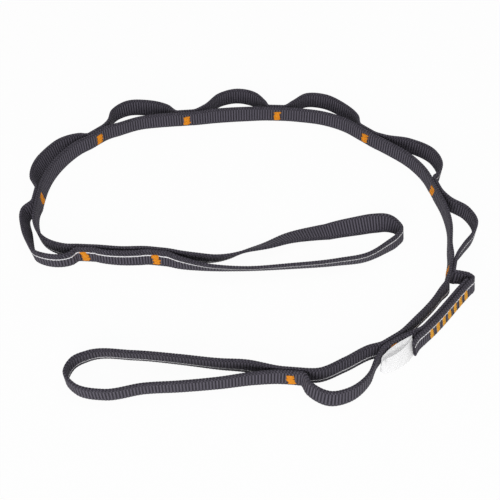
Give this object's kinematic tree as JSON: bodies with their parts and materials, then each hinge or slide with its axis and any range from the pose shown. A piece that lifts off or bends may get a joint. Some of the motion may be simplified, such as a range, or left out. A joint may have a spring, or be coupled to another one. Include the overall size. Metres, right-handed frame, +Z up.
{
  "type": "climbing daisy chain",
  "caption": "Loop of flat nylon webbing bar-tacked into a row of clip-in pockets, with a longer loop at each end, lying coiled on its edge.",
  "frame": {"origin": "middle of the coiled chain's footprint, on the surface that it lies on", "axes": "+Z up, across the width of the tape, which stands on its edge; +X along the coil's longer way, from the open end loop towards the loop's tip inside the ring; +Y away from the viewer of the picture"},
  "size_m": [0.4186, 0.3568, 0.018],
  "materials": {
    "webbing": "ribbed woven nylon, dull",
    "thread": "close zigzag stitching in polyamide thread, slight sheen",
    "label": "smooth white label tape, matt"
  },
  "bodies": {
    "end_loop_1_link": {"end_loop_1": "webbing"},
    "pocket_1_link": {"bar_tack_1": "thread", "straight_strand_1": "webbing", "loop_strand_1": "webbing"},
    "pocket_2_link": {"bar_tack_2": "thread", "straight_strand_2": "webbing", "loop_strand_2": "webbing"},
    "pocket_3_link": {"bar_tack_3": "thread", "straight_strand_3": "webbing", "loop_strand_3": "webbing"},
    "pocket_4_link": {"bar_tack_4": "thread", "straight_strand_4": "webbing", "loop_strand_4": "webbing"},
    "pocket_5_link": {"bar_tack_5": "thread", "straight_strand_5": "webbing", "loop_strand_5": "webbing"},
    "pocket_6_link": {"bar_tack_6": "thread", "straight_strand_6": "webbing", "loop_strand_6": "webbing"},
    "pocket_7_link": {"bar_tack_7": "thread", "straight_strand_7": "webbing", "loop_strand_7": "webbing"},
    "pocket_8_link": {"bar_tack_8": "thread", "straight_strand_8": "webbing", "loop_strand_8": "webbing"},
    "pocket_9_link": {"bar_tack_9": "thread", "bar_tack_10": "thread", "straight_strand_9": "webbing", "splice_tack_1": "thread", "splice_tack_2": "thread", "splice_tack_3": "thread", "splice_tack_4": "thread", "splice_tack_5": "thread", "splice_tack_6": "thread", "splice_tack_7": "thread", "splice_outer_layer": "webbing", "splice_inner_layer": "webbing", "folded_label": "label"},
    "pocket_10_link": {"straight_strand_10": "webbing", "loop_strand_10": "webbing"},
    "end_loop_2_link": {"bar_tack_11": "thread", "end_loop_2": "webbing"}
  },
  "joints": [
    {"name": "flex_1", "type": "hinge", "parent": "pocket_1_link", "child": "end_loop_1_link", "pos_m": [-0.07491, -0.03425, 0.009], "axis": [0, 0, 1], "range_deg": [-24, 36]},
    {"name": "flex_2", "type": "hinge", "parent": "pocket_2_link", "child": "pocket_1_link", "pos_m": [-0.13856, -0.02991, 0.009], "axis": [0, 0, 1], "range_deg": [-18, 26]},
    {"name": "flex_3", "type": "hinge", "parent": "pocket_3_link", "child": "pocket_2_link", "pos_m": [-0.19651, 0.02915, 0.009], "axis": [0, 0, -1], "range_deg": [-13, 16]},
    {"name": "flex_4", "type": "hinge", "parent": "pocket_4_link", "child": "pocket_3_link", "pos_m": [-0.15419, 0.11304, 0.009], "axis": [0, 0, 1], "range_deg": [-24, 11]},
    {"name": "flex_5", "type": "hinge", "parent": "pocket_5_link", "child": "pocket_4_link", "pos_m": [-0.06863, 0.14332, 0.009], "axis": [0, 0, -1], "range_deg": [-9, 36]},
    {"name": "flex_6", "type": "hinge", "parent": "pocket_5_link", "child": "pocket_6_link", "pos_m": [0.02332, 0.15135, 0.009], "axis": [0, 0, 1], "range_deg": [-11, 36]},
    {"name": "flex_7", "type": "hinge", "parent": "pocket_6_link", "child": "pocket_7_link", "pos_m": [0.11298, 0.12299, 0.009], "axis": [0, 0, -1], "range_deg": [-36, 15]},
    {"name": "flex_8", "type": "hinge", "parent": "pocket_7_link", "child": "pocket_8_link", "pos_m": [0.1753, 0.05289, 0.009], "axis": [0, 0, 1], "range_deg": [-13, 36]},
    {"name": "flex_9", "type": "hinge", "parent": "pocket_8_link", "child": "pocket_9_link", "pos_m": [0.18078, -0.04266, 0.009], "axis": [0, 0, -1], "range_deg": [-36, 13]},
    {"name": "flex_10", "type": "hinge", "parent": "pocket_9_link", "child": "pocket_10_link", "pos_m": [0.11463, -0.12911, 0.009], "axis": [0, 0, -1], "range_deg": [-3, 18]},
    {"name": "flex_11", "type": "hinge", "parent": "pocket_10_link", "child": "end_loop_2_link", "pos_m": [0.04145, -0.15577, 0.009], "axis": [0, 0, 1], "range_deg": [-30, 36]}
  ]
}
